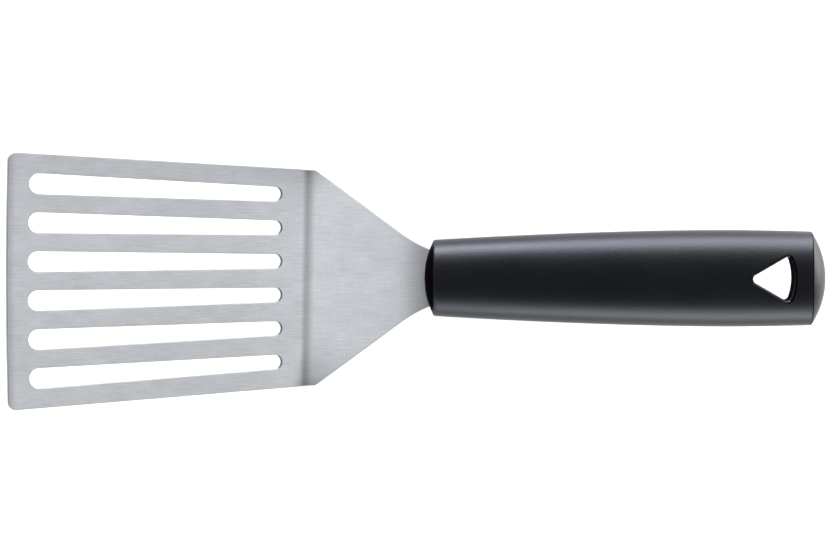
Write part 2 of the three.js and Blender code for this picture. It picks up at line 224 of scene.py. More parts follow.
# Fineness of the meshes, and the rows of faces that the hanging hole's wall has above its middle
WELD_DISTANCE = 0.001 * MM
SHARP_ANGLE = math.radians(50)
BEND_STEPS = 16
PATH_STEP = 1.6 * MM
ARC_STEP = math.radians(5)
EDGE_STEPS = 5
SECTION_STEPS = 240
GRIP_STEPS = 150
CAVITY_STEPS = 40
RIM_STEPS = 7
DOME_STEPS = 40
HOLE_STEPS = 16
WALL_ROWS = 2

# Camera, set by the photo's frame
SENSOR_WIDTH = 36
CAMERA_DISTANCE = 1.55
CAMERA_TILT = math.radians(1.8)
CAMERA_ROLL = math.radians(0.075)
FRAME_WIDTH = 259.15 * MM
AIM_BEHIND_BEND = 32.7 * MM
AIM_ACROSS = 0.1 * MM

# Floor, room and tints of the lamps
FLOOR_REACH = 12.0
FLOOR_DROP = 0.2 * MM
FLOOR_GLOW = 0.83
FLOOR_COLOUR = (0.45, 0.45, 0.45, 1)
ROOM_COLOUR = (0.97, 0.985, 1.0, 1)
ROOM_STRENGTH = 0.05
COOL_LIGHT = (0.96, 0.95, 1.0)
FRESH_LIGHT = (0.97, 1.0, 0.99)
PLAIN_LIGHT = (1, 1, 1)

# Lamps on both sides of the tool, low and high, brighter on the side that is up in the picture, one for
# the end of the handle, one high behind it and a small one close behind it
LAMPS = (  # name, place, point it faces, size, radiance, tint
    ("upper_front", (-0.45, 0.913, 0.262), (-0.45, 0, 0.02), (0.6, 0.4), 17, COOL_LIGHT),
    ("upper_rear", (0.15, 0.913, 0.262), (0.15, 0, 0.02), (0.6, 0.4), 8.3, COOL_LIGHT),
    ("upper_high", (0.15, 0.788, 0.531), (0.15, 0, 0.02), (0.6, 0.2), 7.7, COOL_LIGHT),
    ("lower_front", (-0.6, -0.88, 0.356), (-0.6, 0, 0.02), (0.3, 0.62), 4.8, FRESH_LIGHT),
    ("lower_rear", (0.15, -0.913, 0.262), (0.15, 0, 0.02), (0.6, 0.4), 5.8, FRESH_LIGHT),
    ("lower_high", (0.15, -0.788, 0.531), (0.15, 0, 0.02), (0.6, 0.2), 2.4, FRESH_LIGHT),
    ("upper_end", (0.55, 0.85, 0.25), (0.11, 0, 0.03), (0.25, 0.4), 6, COOL_LIGHT),
    ("rear", (0.83, -0.6, 0.88), (0, 0, 0.02), (0.4, 0.6), 2.6, PLAIN_LIGHT),
    ("behind_handle", (0.19, 0.05, 0.03), (0.126, 0, 0.03), (0.14, 0.05), 4.1, PLAIN_LIGHT),
)

# Places worked out from the sizes above
half_sheet = SHEET_THICKNESS / 2
bend_radius = BEND_INSIDE_RADIUS + half_sheet
blade_rear = -bend_radius * BEND_ANGLE
blade_front = blade_rear - BLADE_LENGTH
grip_front_width = TANG_WIDTH + 2 * (NECK_FLARE + GRIP_SHOULDER)
widest_at = GRIP_LENGTH - WIDEST_SETBACK
recess_front = GRIP_LENGTH - SPIGOT_LENGTH - CLEARANCE
hole_rear = recess_front - HOLE_REAR_WALL
hole_front = hole_rear - HOLE_LENGTH
core_rear = hole_front - HOLE_FRONT_WALL
tang_rear = NECK_LENGTH + core_rear - TANG_END_WALL
fillet_rear = NECK_LENGTH + math.sqrt(NECK_FLARE * (2 * NECK_FILLET_RADIUS - NECK_FLARE))
pin_places = (fillet_rear + PIN_MARGIN, tang_rear - PIN_MARGIN)


def tool_placement():
    """Where the frame has the tool: its X axis runs through the middles of the two pins."""
    front, rear = (sum(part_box(name), Vector()) / 2 for name in ("tang_pin_front", "tang_pin_rear"))
    along = (rear - front).normalized()
    across = Vector((0, 1, 0))
    placement = Matrix((along, across, along.cross(across))).transposed().to_4x4()
    placement.translation = front - along * pin_places[0]
    return placement


tool_to_row = tool_placement()


# Finishes

def new_finish(name, **settings):
    """A material, its node tree and its shader, with constant values set on the shader's own sockets."""
    material = bpy.data.materials.new(name)
    material.use_nodes = True
    shader = material.node_tree.nodes["Principled BSDF"]
    for socket, value in settings.items():
        shader.inputs[socket.replace("_", " ")].default_value = value
    return material, material.node_tree, shader


def add_node(tree, kind, sources=None, values=None, **properties):
    """A node with its properties, its constant inputs, and links from the outputs named in sources."""
    node = tree.nodes.new(kind)
    for name, value in properties.items():
        setattr(node, name, value)
    for socket, value in (values or {}).items():
        node.inputs[socket].default_value = value
    for socket, source in (sources or {}).items():
        tree.links.new(source, node.inputs[socket])
    return node


def noise(tree, place, cells, detail):
    """Noise from 0 to 1, with a number of cells to the metre along each axis of the place, and a number of
    finer layers on it."""
    stretched = add_node(tree, "ShaderNodeMapping", {"Vector": place}, {"Scale": cells})
    values = {"Scale": 1.0, "Detail": detail, "Roughness": NOISE_ROUGHNESS}
    return add_node(tree, "ShaderNodeTexNoise", {"Vector": stretched.outputs[0]}, values).outputs["Fac"]


def weighed(tree, first, second, share):
    """Two values mixed, with the given share of the second one."""
    sources = {"A": first, "B": second}
    return add_node(tree, "ShaderNodeMix", sources, {"Factor": share}).outputs["Result"]


def reckoned(tree, operation, *operands):
    """The result of a maths node. Its operands are numbers or outputs of other nodes."""
    node = add_node(tree, "ShaderNodeMath", operation=operation)
    for socket, operand in zip(node.inputs, operands):
        if isinstance(operand, bpy.types.NodeSocket):
            tree.links.new(operand, socket)
        else:
            socket.default_value = operand
    return node.outputs[0]


def ranged(tree, value, low, high):
    """The middle range of a noise value spread from low to high."""
    values = {"From Min": NOISE_RANGE[0], "From Max": NOISE_RANGE[1], "To Min": low, "To Max": high}
    return add_node(tree, "ShaderNodeMapRange", {"Value": value}, values).outputs["Result"]


def marked(tree, colour, distance, reach, tone):
    """A colour times a tone where the distance is 0, and smoothly less so out to the reach."""
    values = {"From Min": 0, "From Max": reach, "To Min": 1, "To Max": 0}
    share = add_node(tree, "ShaderNodeMapRange", {"Value": distance}, values)
    share.interpolation_type = "SMOOTHSTEP"
    sources = {MIX_SHARE: share.outputs["Result"], MIX_FIRST: colour}
    values = {MIX_SECOND: (tone, tone, tone, 1)}
    node = add_node(tree, "ShaderNodeMix", sources, values, data_type="RGBA", blend_type="MULTIPLY")
    return node.outputs[MIX_RESULT]


def faded(tree, past, fading):
    """A distance from a line: how far past it a place lies, times one number ahead of the line and another
    behind it."""
    ahead, behind = fading
    before_line = reckoned(tree, "MULTIPLY", past, -ahead)
    after_line = reckoned(tree, "MULTIPLY", past, behind)
    return reckoned(tree, "MAXIMUM", before_line, after_line)


def tinted(tree, value, colours):
    """A colour between the darkest and the lightest one, by a value from 0 to 1."""
    dark, light = colours
    values = {MIX_FIRST: (*dark, 1), MIX_SECOND: (*light, 1)}
    node = add_node(tree, "ShaderNodeMix", {MIX_SHARE: value}, values, data_type="RGBA")
    return node.outputs[MIX_RESULT]


def bumped(tree, height, depth):
    """A surface normal tilted by a height that runs from 0 to the given depth."""
    values = {"Distance": depth, "Strength": 1.0}
    return add_node(tree, "ShaderNodeBump", {"Height": height}, values).outputs["Normal"]


def object_place(tree):
    """The place of a point on its object, in metres."""
    return add_node(tree, "ShaderNodeTexCoord").outputs["Object"]


def brushed_steel():
    """Stainless sheet brushed along its length, with finer strokes across and a faint cloudiness. Painted
    on it are a sheen of light about the bend and shade along the bend, at its ends, along the blade's edges
    near them and before the collar, with a dark mark along the crowned front edge."""
    material, tree, shader = new_finish("brushed_steel", Metallic=1, **BRUSHED_GLOSS)
    place = add_node(tree, "ShaderNodeUVMap", uv_map="blank").outputs["UV"]
    along = noise(tree, place, LONG_STROKES, MORE_LAYERS)
    across = noise(tree, place, CROSS_STROKES, FEW_LAYERS)
    cloud = noise(tree, place, STEEL_CLOUDS, MORE_LAYERS)
    strokes = weighed(tree, along, across, CROSS_SHARE)
    shade = ranged(tree, weighed(tree, strokes, cloud, STEEL_CLOUD_SHARE), 0, 1)
    colour = tinted(tree, shade, STEEL_COLOURS)

    x, y, _ = add_node(tree, "ShaderNodeSeparateXYZ", {0: place}).outputs
    bend_line = reckoned(tree, "MULTIPLY_ADD", y, BEND_SHADE_SLANT, BEND_SHADE_SHARE * blade_rear)
    past_bend = reckoned(tree, "SUBTRACT", x, bend_line)
    # Painted sheen of light about the bend
    from_painted_sheen = reckoned(tree, "ABSOLUTE", reckoned(tree, "SUBTRACT", x, PAINTED_SHEEN_MIDDLE))
    colour = marked(tree, colour, from_painted_sheen, PAINTED_SHEEN_REACH, PAINTED_SHEEN_TONE)
    # Painted shade along the bend's line
    from_bend = faded(tree, past_bend, BEND_SHADE_FADING)
    colour = marked(tree, colour, from_bend, BEND_SHADE_REACH, BEND_SHADE_TONE)
    # Painted shade at the bend's ends and along the edges near them; the widest darkens the blade's upper
    # side
    for side, reach, tone, fading in EDGE_SHADES:
        inward = reckoned(tree, "MULTIPLY_ADD", y, -side, blade_half_width(SHOULDER_LENGTH))
        from_shoulder = reckoned(tree, "ADD", inward, faded(tree, past_bend, fading))
        colour = marked(tree, colour, from_shoulder, reach, tone)
    # Painted shade on the neck before the collar, where the handle shades it
    from_collar = reckoned(tree, "SUBTRACT", NECK_LENGTH - FRONT_DOME_HEIGHT, x)
    colour = marked(tree, colour, from_collar, COLLAR_SHADE_REACH, COLLAR_SHADE_TONE)
    across_squared = reckoned(tree, "MULTIPLY", y, y)
    crown = reckoned(tree, "MULTIPLY", across_squared, 4 * FRONT_CROWN / BLADE_FRONT_WIDTH**2)
    from_front = reckoned(tree, "SUBTRACT", reckoned(tree, "SUBTRACT", x, crown), blade_front)
    colour = marked(tree, colour, from_front, FRONT_MARK_REACH, FRONT_MARK_TONE)

    tree.links.new(colour, shader.inputs["Base Color"])
    tree.links.new(ranged(tree, strokes, *STEEL_ROUGHNESS), shader.inputs["Roughness"])
    tree.links.new(bumped(tree, strokes, STROKE_DEPTH), shader.inputs["Normal"])
    tangent = add_node(tree, "ShaderNodeTangent", direction_type="UV_MAP", uv_map="blank")
    tree.links.new(tangent.outputs[0], shader.inputs["Tangent"])
    return material


def cut_steel(name, colours):
    """The walls that the press cut through the sheet: unbrushed, torn and darker than its faces."""
    material, tree, shader = new_finish(name, Metallic=1)
    torn = noise(tree, object_place(tree), TORN_GRAIN, MORE_LAYERS)
    tree.links.new(tinted(tree, torn, colours), shader.inputs["Base Color"])
    tree.links.new(ranged(tree, torn, *EDGE_ROUGHNESS), shader.inputs["Roughness"])
    tree.links.new(bumped(tree, torn, TORN_DEPTH), shader.inputs["Normal"])
    return material


def satin_plastic(name, colours, roughness, grain, depth, **settings):
    """Moulded plastic with a fine spark-eroded grain of the given cells and depth, and a faint unevenness
    of colour and gloss."""
    material, tree, shader = new_finish(name, **settings)
    place = object_place(tree)
    fine = noise(tree, place, grain, FEW_LAYERS)
    cloud = noise(tree, place, PLASTIC_CLOUDS, MORE_LAYERS)
    colour = tinted(tree, ranged(tree, cloud, 0, 1), colours)
    uneven = weighed(tree, fine, cloud, PLASTIC_CLOUD_SHARE)
    gloss = ranged(tree, uneven, roughness - PLASTIC_STRAY, roughness + PLASTIC_STRAY)
    tree.links.new(colour, shader.inputs["Base Color"])
    tree.links.new(gloss, shader.inputs["Roughness"])
    tree.links.new(bumped(tree, fine, depth), shader.inputs["Normal"])
    return material


def lightened_wall_plastic():
    """The wall of the hanging hole, as a mould's core leaves it: dull, with faint marks of its drawing, and
    lighter than the black skin, painted light.
    """
    material, tree, shader = new_finish("lightened_wall_plastic", **WALL_GLOSS)
    drawn = noise(tree, object_place(tree), WALL_GRAIN, MORE_LAYERS)
    tree.links.new(tinted(tree, drawn, LIGHTENED_WALL_COLOURS), shader.inputs["Base Color"])
    return material


def drawn_steel():
    """Plain ground steel of the pins, with rings round them."""
    material, tree, shader = new_finish("drawn_steel", Metallic=1)
    rings = noise(tree, object_place(tree), PIN_RINGS, FEW_LAYERS)
    tree.links.new(tinted(tree, rings, PIN_COLOURS), shader.inputs["Base Color"])
    tree.links.new(ranged(tree, rings, *PIN_ROUGHNESS), shader.inputs["Roughness"])
    return material


# Meshes from arrays

def grid_faces(rows, columns):
    """Quads of a grid whose columns close into a ring: each joins a point to the next row and column."""
    row, column = np.meshgrid(np.arange(rows - 1), np.arange(columns), indexing="ij")
    here = row * columns + column
    beside = row * columns + (column + 1) % columns
    return np.stack([here, beside, beside + columns, here + columns], axis=-1)


def ring_part(rings):
    """A part of a piece: all the quads of a grid of rings, in the piece's first finish."""
    return rings.reshape(-1, 3), grid_faces(*rings.shape[:2]).reshape(-1, 4), 0


def make_piece(name, parts, finishes, flat_places=None):
    """A closed, welded, smooth piece from parts, laid down where the tool lies.

    A part is points, faces and the place of its finish in finishes. flat_places gives each point's place
    on the flat blank, which becomes the piece's UV map, in metres.
    """
    points = np.concatenate([some for some, _, _ in parts])
    laid = points @ np.array(tool_to_row.to_3x3()).T + np.array(tool_to_row.translation)
    starts = np.cumsum([0] + [len(some) for some, _, _ in parts])
    faces = [face for (_, some, _), start in zip(parts, starts) for face in (some + start).tolist()]
    mesh = bpy.data.meshes.new(name)
    mesh.from_pydata(laid, [], faces)
    for finish in finishes:
        mesh.materials.append(finish)
    face_counts = [len(some) for _, some, _ in parts]
    finish_of_face = np.repeat([finish for _, _, finish in parts], face_counts)
    mesh.polygons.foreach_set("material_index", finish_of_face)
    if flat_places is not None:
        places = mesh.attributes.new("flat_place", "FLOAT2", "POINT")
        places.data.foreach_set("vector", np.concatenate(flat_places).astype(np.float32).ravel())

    shell = bmesh.new()
    shell.from_mesh(mesh)
    bmesh.ops.remove_doubles(shell, verts=shell.verts, dist=WELD_DISTANCE)
    bmesh.ops.recalc_face_normals(shell, faces=shell.faces)
    shell.to_mesh(mesh)
    shell.free()
    mesh.shade_smooth()
    mesh.set_sharp_from_angle(angle=SHARP_ANGLE)
    if flat_places is not None:
        add_blank_map(mesh)
    piece = bpy.data.objects.new(name, mesh)
    bpy.context.scene.collection.objects.link(piece)
    return piece


def add_blank_map(mesh):
    """The UV map of a sheet: each face corner takes its point's place on the flat blank."""
    places = np.empty(2 * len(mesh.vertices), np.float32)
    mesh.attributes["flat_place"].data.foreach_get("vector", places)
    corners = np.empty(len(mesh.loops), np.int32)
    mesh.loops.foreach_get("vertex_index", corners)
    mesh.attributes.remove(mesh.attributes["flat_place"])
    blank = mesh.uv_layers.new(name="blank")
    blank.uv.foreach_set("vector", places.reshape(-1, 2)[corners].ravel())


# Outlines

def arc(centre, radius, start, sweep):
    """Points of an arc and the unit directions from its centre: centre plus radius times (cos, sin)."""
    steps = max(2, math.ceil(abs(sweep) / ARC_STEP), math.ceil(abs(sweep) * radius / PATH_STEP))
    angle = start + np.linspace(0, sweep, steps + 1)
    direction = np.stack([np.cos(angle), np.sin(angle)], axis=-1)
    return np.asarray(centre) + radius * direction, direction


def rounded_outline(corners):
    """A closed counter-clockwise outline and its outward normals. Each corner (x, y, radius) becomes an
    arc that touches both its edges, centred on the bisector at radius / sin(half the corner's angle)."""
    corners = np.asarray(corners)
    places = corners[:, :2]
    stretches = []
    befores, afters = np.roll(places, 1, 0), np.roll(places, -1, 0)
    for at, before, after, radius in zip(places, befores, afters, corners[:, 2]):
        back = (before - at) / np.linalg.norm(before - at)
        ahead = (after - at) / np.linalg.norm(after - at)
        half = math.acos(back @ ahead) / 2
        bisector = (back + ahead) / np.linalg.norm(back + ahead)
        centre = at + bisector * radius / math.sin(half)
        first = at + back * radius / math.tan(half) - centre
        side = math.copysign(1, ahead[0] * back[1] - ahead[1] * back[0])
        points, direction = arc(centre, radius, math.atan2(first[1], first[0]), side * (math.pi - 2 * half))
        stretches.append((points, side * direction))
    return tuple(np.concatenate(column) for column in zip(*stretches))


def along_path(path, place):
    """Points and normals of a closed path at places counted in points, mixed between neighbours."""
    points, normals = path
    here = np.floor(place).astype(int) % len(points)
    beyond = (here + 1) % len(points)
    share = (place - np.floor(place))[:, None]
    mixed = normals[here] * (1 - share) + normals[beyond] * share
    mixed /= np.linalg.norm(mixed, axis=1, keepdims=True)
    return points[here] * (1 - share) + points[beyond] * share, mixed


def edge_lengths(points):
    """The length of each edge of a closed path, from a point to the next one."""
    return np.linalg.norm(np.roll(points, -1, 0) - points, axis=1)


def with_stops(path, stops):
    """A closed path with its long edges cut evenly, and cut again where they cross X = each stop."""
    points = path[0]
    counts = np.maximum(1, np.ceil(edge_lengths(points) / PATH_STEP)).astype(int)
    edge = np.repeat(np.arange(len(points)), counts)
    even = edge + (np.arange(counts.sum()) - np.repeat(np.cumsum(counts) - counts, counts)) / counts[edge]
    before = points[:, :1] - stops
    after = np.roll(before, -1, 0)
    crossed, stop = np.nonzero(before * after < 0)
    crossing = crossed + before[crossed, stop] / (before[crossed, stop] - after[crossed, stop])
    return along_path(path, np.unique(np.concatenate([even, crossing])))


def evenly(path, count):
    """A closed path cut into a count of equal lengths."""
    lengths = edge_lengths(path[0])
    passed = np.concatenate([[0], np.cumsum(lengths)])
    wanted = np.linspace(0, passed[-1], count, endpoint=False)
    return along_path(path, np.interp(wanted, passed, np.arange(len(passed))))


# Blade

def blade_half_width(x):
    """Half the blank's width: a straight line through the rear width and the front width, and past both."""
    share = (blade_rear - x) / BLADE_LENGTH
    return (BLADE_REAR_WIDTH + (BLADE_FRONT_WIDTH - BLADE_REAR_WIDTH) * share) / 2


def blank_outline():
    """The outline of the flat blank, from the crowned front edge round the shoulders to the tang."""
    front_half = BLADE_FRONT_WIDTH / 2
    tang_half = TANG_WIDTH / 2
    shoulder_half = blade_half_width(SHOULDER_LENGTH)
    run = fillet_rear - SHOULDER_LENGTH
    rise = tang_half + NECK_FILLET_RADIUS - shoulder_half
    taper = math.asin(NECK_FILLET_RADIUS / math.hypot(run, rise)) - math.atan2(rise, run)
    throat = SHOULDER_LENGTH + (shoulder_half - tang_half) / math.tan(taper)
    crown_radius = (front_half - 2 * FRONT_CORNER_RADIUS) * front_half / (2 * FRONT_CROWN)
    upper = [
        (tang_rear, tang_half, TANG_CORNER_RADIUS),
        (throat, tang_half, NECK_FILLET_RADIUS),
        (SHOULDER_LENGTH, shoulder_half, SHOULDER_RADIUS),
        (blade_front + FRONT_CROWN, front_half, FRONT_CORNER_RADIUS),
    ]
    lower = [(x, -y, radius) for x, y, radius in reversed(upper)]
    return rounded_outline([*lower, *upper, (blade_front - FRONT_CROWN, 0, crown_radius)])


def slot_outline(row_share):
    """The outline of one slot, and normals that point into it: two round ends joined by straight sides.

    row_share runs from -1 to 1 across the blade, and each end lies at that share of the outermost place.
    """
    def end(x, width):
        return x, row_share * (blade_half_width(x) - EDGE_BAR - width / 2)

    crown_fall = FRONT_CROWN * row_share**2
    front = end(blade_front + crown_fall + FRONT_BAR + SLOT_FRONT_WIDTH / 2, SLOT_FRONT_WIDTH)
    rear = end(blade_rear - REAR_BAR - SLOT_REAR_WIDTH / 2, SLOT_REAR_WIDTH)
    across = math.atan2(rear[1] - front[1], rear[0] - front[0]) + math.pi / 2
    front_points, front_out = arc(front, SLOT_FRONT_WIDTH / 2, across, math.pi)
    rear_points, rear_out = arc(rear, SLOT_REAR_WIDTH / 2, across + math.pi, math.pi)
    return np.concatenate([front_points, rear_points]), -np.concatenate([front_out, rear_out])


def pin_hole_outline(x):
    """A round hole in the tang, and normals that point into it."""
    points, direction = arc((x, 0), PIN_DIAMETER / 2 + CLEARANCE, 0, 2 * math.pi)
    return points[:-1], -direction[:-1]


def folded(x, y, height):
    """A point of the blank after bending. Behind X = 0 nothing moves. In the bend the sheet turns round an
    axis at the bend radius above its middle, and beyond the bend it runs on straight at the bend angle."""
    turn = np.clip(-x / bend_radius, 0, BEND_ANGLE)
    beyond = np.maximum(blade_rear - x, 0)
    arm = bend_radius - height
    along = np.maximum(x, 0) - arm * np.sin(turn) - beyond * np.cos(turn)
    up = bend_radius - arm * np.cos(turn) + beyond * np.sin(turn)
    return np.stack(np.broadcast_arrays(along, y, up), axis=-1)


def edge_profile():
    """Inset and height round the sheet's edge: a flat strip, a quarter circle, the wall, and the same in
    reverse below."""
    turn = np.linspace(0, math.pi / 2, EDGE_STEPS)
    inset = np.concatenate([[EDGE_RADIUS + EDGE_STRIP], EDGE_RADIUS * (1 - np.sin(turn))])
    height = half_sheet - np.concatenate([[0], EDGE_RADIUS * (1 - np.cos(turn))])
    return np.concatenate([inset, inset[::-1]]), np.concatenate([height, -height[::-1]])


def filled(loops, ties):
    """Flat triangles inside the first of some closed loops of points and outside the others, with ties as
    edges. A triangle knows the loops that it lies in, so the wanted ones know the first loop alone."""
    ends = np.cumsum([len(loop) for loop in loops])
    rims = [list(range(end - len(loop), end)) for loop, end in zip(loops, ends)]
    corners = [Vector(point) for point in np.concatenate(loops)]
    points, _, faces, _, _, owners = delaunay_2d_cdt(corners, ties, rims, 0, WELD_DISTANCE)
    return np.array(points), np.array([face for face, owner in zip(faces, owners) if owner == [0]])


def blade():
    """The bent sheet: the edge profile carried round the blank's outline and round each hole in it, and
    flat faces between those edges, all folded at the bend. The walls that the press cut have a finish of
    their own, with a darker copy at each hole's rear end, painted shade."""
    stops = np.linspace(blade_rear, 0, BEND_STEPS + 1)
    slots = [slot_outline(share) for share in np.linspace(-1, 1, SLOT_COUNT)]
    pin_holes = [pin_hole_outline(x) for x in pin_places]
    paths = [with_stops(path, stops) for path in (blank_outline(), *slots, *pin_holes)]

    inset, height = edge_profile()
    cut = (height[1:] != half_sheet) & (height[:-1] != -half_sheet)
    parts, flat_places = [], []
    for number, (points, normals) in enumerate(paths):
        flat = points - inset[:, None, None] * normals
        rim = folded(flat[..., 0], flat[..., 1], height[:, None]).reshape(-1, 3)
        faces = grid_faces(len(inset), len(points))
        rear_end = (normals[:, 0] < -FACING) & (number > 0)
        wall = np.where(rear_end, SLOT_END, BLADE_EDGE)
        finish_of_face = np.where(cut[:, None], wall, BLADE_FACE)
        for finish in (BLADE_FACE, BLADE_EDGE, SLOT_END):
            parts.append((rim, faces[finish_of_face == finish], finish))
            flat_places.append(flat.reshape(-1, 2))

    outline = paths[0][0]
    ties = [np.flatnonzero(np.abs(outline[:, 0] - stop) < WELD_DISTANCE).tolist() for stop in stops]
    flat, faces = filled([points - inset[0] * normals for points, normals in paths], ties)
    for level, turned in ((half_sheet, faces), (-half_sheet, faces[:, ::-1])):
        parts.append((folded(flat[:, 0], flat[:, 1], level), turned, BLADE_FACE))
        flat_places.append(flat)
    edge_steel = cut_steel("edge_steel", EDGE_COLOURS)
    # Painted shade: the darker copy of the cut steel for each hole's rear wall
    shaded_slot_steel = cut_steel("shaded_slot_steel", SHADED_SLOT_COLOURS)
    return make_piece("blade_sheet", parts, [brushed_steel(), edge_steel, shaded_slot_steel], flat_places)


# Handle

def grip_half_sizes(s):
    """Half the width and half the thickness of the grip at s behind its front rim. Both fall from the
    widest place to either end by the share of the way raised to the swell power."""
    before = s < widest_at
    share = np.clip(np.abs(s - widest_at) / np.where(before, widest_at, WIDEST_SETBACK), 0, 1)
    fall = share**SWELL_POWER
    end_width = np.where(before, grip_front_width, GRIP_REAR_WIDTH)
    end_thickness = np.where(before, GRIP_FRONT_THICKNESS, GRIP_REAR_THICKNESS)
    width = GRIP_WIDEST_WIDTH + (end_width - GRIP_WIDEST_WIDTH) * fall
    thickness = GRIP_WIDEST_THICKNESS + (end_thickness - GRIP_WIDEST_THICKNESS) * fall
    return width / 2, thickness / 2


def unit_section(power):
    """Points round a superellipse of half sizes 1: the cosine and the sine of the angle, each raised to
    2 / power with its sign kept."""
    angle = np.linspace(0, 2 * math.pi, SECTION_STEPS, endpoint=False)
    circle = np.stack([np.cos(angle), np.sin(angle)])
    return np.sign(circle) * np.abs(circle) ** (2 / power)


def section_rings(s, width, thickness):
    """Rings of the handle at s behind the front rim: the unit section times half the width and half the
    thickness."""
    across, up = unit_section(SECTION_POWER)
    along = NECK_LENGTH + s[:, None]
    rings = np.broadcast_arrays(along, width[:, None] * across, thickness[:, None] * up)
    return np.stack(rings, axis=-1)


def dome_rise(share, half_width, height):
    """How far a dome stands out at a share of the way from its top to its rim: a slice of a ball that is
    as wide as the section and as high as the dome."""
    ball = (half_width**2 + height**2) / (2 * height)
    return np.sqrt(ball**2 - (share * half_width) ** 2) - math.sqrt(ball**2 - half_width**2)


def grip_profile():
    """The grip's closed skin as rings (s, inset, share): the floor and wall of the rear recess, the rear
    rim, the outside, the front rim, the wall of the cavity and its floor. The half sizes are drawn in by
    the inset, then multiplied by the share, which is 0 in the middle of a floor."""
    turn = np.linspace(0, math.pi / 2, RIM_STEPS)
    rim_depth = 1 - np.cos(turn)
    rim_inset = 1 - np.sin(turn)
    outside = np.linspace(GRIP_LENGTH - REAR_RIM_RADIUS, FRONT_RIM_RADIUS, GRIP_STEPS)[1:-1]
    cavity = np.linspace(0, core_rear + CLEARANCE, CAVITY_STEPS)
    recess = np.array([recess_front, recess_front, GRIP_LENGTH])
    recess_inset = REAR_SPIGOT_INSET - CLEARANCE
    stretches = [
        (recess, recess_inset),
        (GRIP_LENGTH - REAR_RIM_RADIUS * rim_depth, REAR_RIM_RADIUS * rim_inset),
        (outside, 0),
        (FRONT_RIM_RADIUS * rim_depth[::-1], FRONT_RIM_RADIUS * rim_inset[::-1]),
        (cavity, SKIN_THICKNESS),
        (cavity[-1:], SKIN_THICKNESS),
    ]
    s = np.concatenate([along for along, _ in stretches])
    inset = np.concatenate([inset + 0 * along for along, inset in stretches])
    share = np.ones(len(s))
    share[[0, -1]] = 0
    return s, inset, share


def hole_outline():
    """The hanging hole seen from above and its outward normals, from the middle of its front corner."""
    apex = hole_front - HOLE_CORNER_RADIUS * (1 / math.sin(HOLE_SIDE_ANGLE) - 1)
    base = hole_rear - HOLE_BASE_CROWN
    half = (base - apex) * math.tan(HOLE_SIDE_ANGLE)
    base_radius = (half - HOLE_CORNER_RADIUS) * half / (2 * HOLE_BASE_CROWN)
    points, normals = rounded_outline([
        (apex, 0, HOLE_CORNER_RADIUS),
        (base, -half, HOLE_CORNER_RADIUS),
        (base + 2 * HOLE_BASE_CROWN, 0, base_radius),
        (base, half, HOLE_CORNER_RADIUS),
    ])
    first = points[:, 0].argmin()
    return np.roll(points, -first, 0), np.roll(normals, -first, 0)


def hole_surface(border):
    """The hanging hole with its rounded rims, from a border on the grip's top to the same border below.

    Seen from above, points go out from the hole's outline along its normals through the rim, then straight
    to the border. On the top they lie on the grip's section, lowered in the rim by a quarter circle, with
    a narrow strip of the wall below it. The underside mirrors the top, and the wall joins the two. Most of
    the rim has the wall's lightened finish on the hole's lower side, a painted highlight, and the seams'
    painted shade on its rear side.
    """
    outline, normals = evenly(hole_outline(), len(border))
    turn = np.linspace(0, math.pi / 2, RIM_STEPS)
    rim = outline + HOLE_RIM_RADIUS * (1 - np.cos(turn))[:, None, None] * normals
    share = np.linspace(0, 1, HOLE_STEPS)[1:, None, None]
    level = border[:, :2] - (NECK_LENGTH, 0)
    seen = np.concatenate([[outline], rim, rim[-1] * (1 - share) + level * share])
    rim_drop = HOLE_RIM_RADIUS * (1 - np.sin(turn))
    drop = np.concatenate([[HOLE_RIM_RADIUS + HOLE_WALL_STRIP], rim_drop, np.zeros(len(share))])
    width, thickness = grip_half_sizes(seen[..., 0])
    up = thickness * (1 - np.abs(seen[..., 1] / width) ** SECTION_POWER) ** (1 / SECTION_POWER)
    top = np.stack([NECK_LENGTH + seen[..., 0], seen[..., 1], up - drop[:, None]], axis=-1)
    top[-1] = border
    both = np.concatenate([top[::-1], top * (1, 1, -1)])
    faces = grid_faces(len(both), len(border))
    row = np.abs(np.arange(len(faces)) - (len(top) - 1))[:, None]
    # Painted highlight on the lower side's rim, in the wall's lightened finish, and painted shade on the
    # rear side's rim
    lower_side = (normals[:, 0] < 0) & (normals[:, 1] < -FACING)
    rear_side = normals[:, 0] > FACING
    in_wall = row < np.where(lower_side, RIM_STEPS, WALL_ROWS)
    in_dark_rim = (row < RIM_STEPS) & rear_side
    in_rim = row <= RIM_STEPS
    finishes = [HOLE_WALL, GRIP_SEAM, HOLE_RIM]
    finish_of_face = np.select([in_wall, in_dark_rim, in_rim], finishes, GRIP_SKIN)
    points = both.reshape(-1, 3)
    return [(points, faces[finish_of_face == finish], finish) for finish in (GRIP_SKIN, *finishes)]


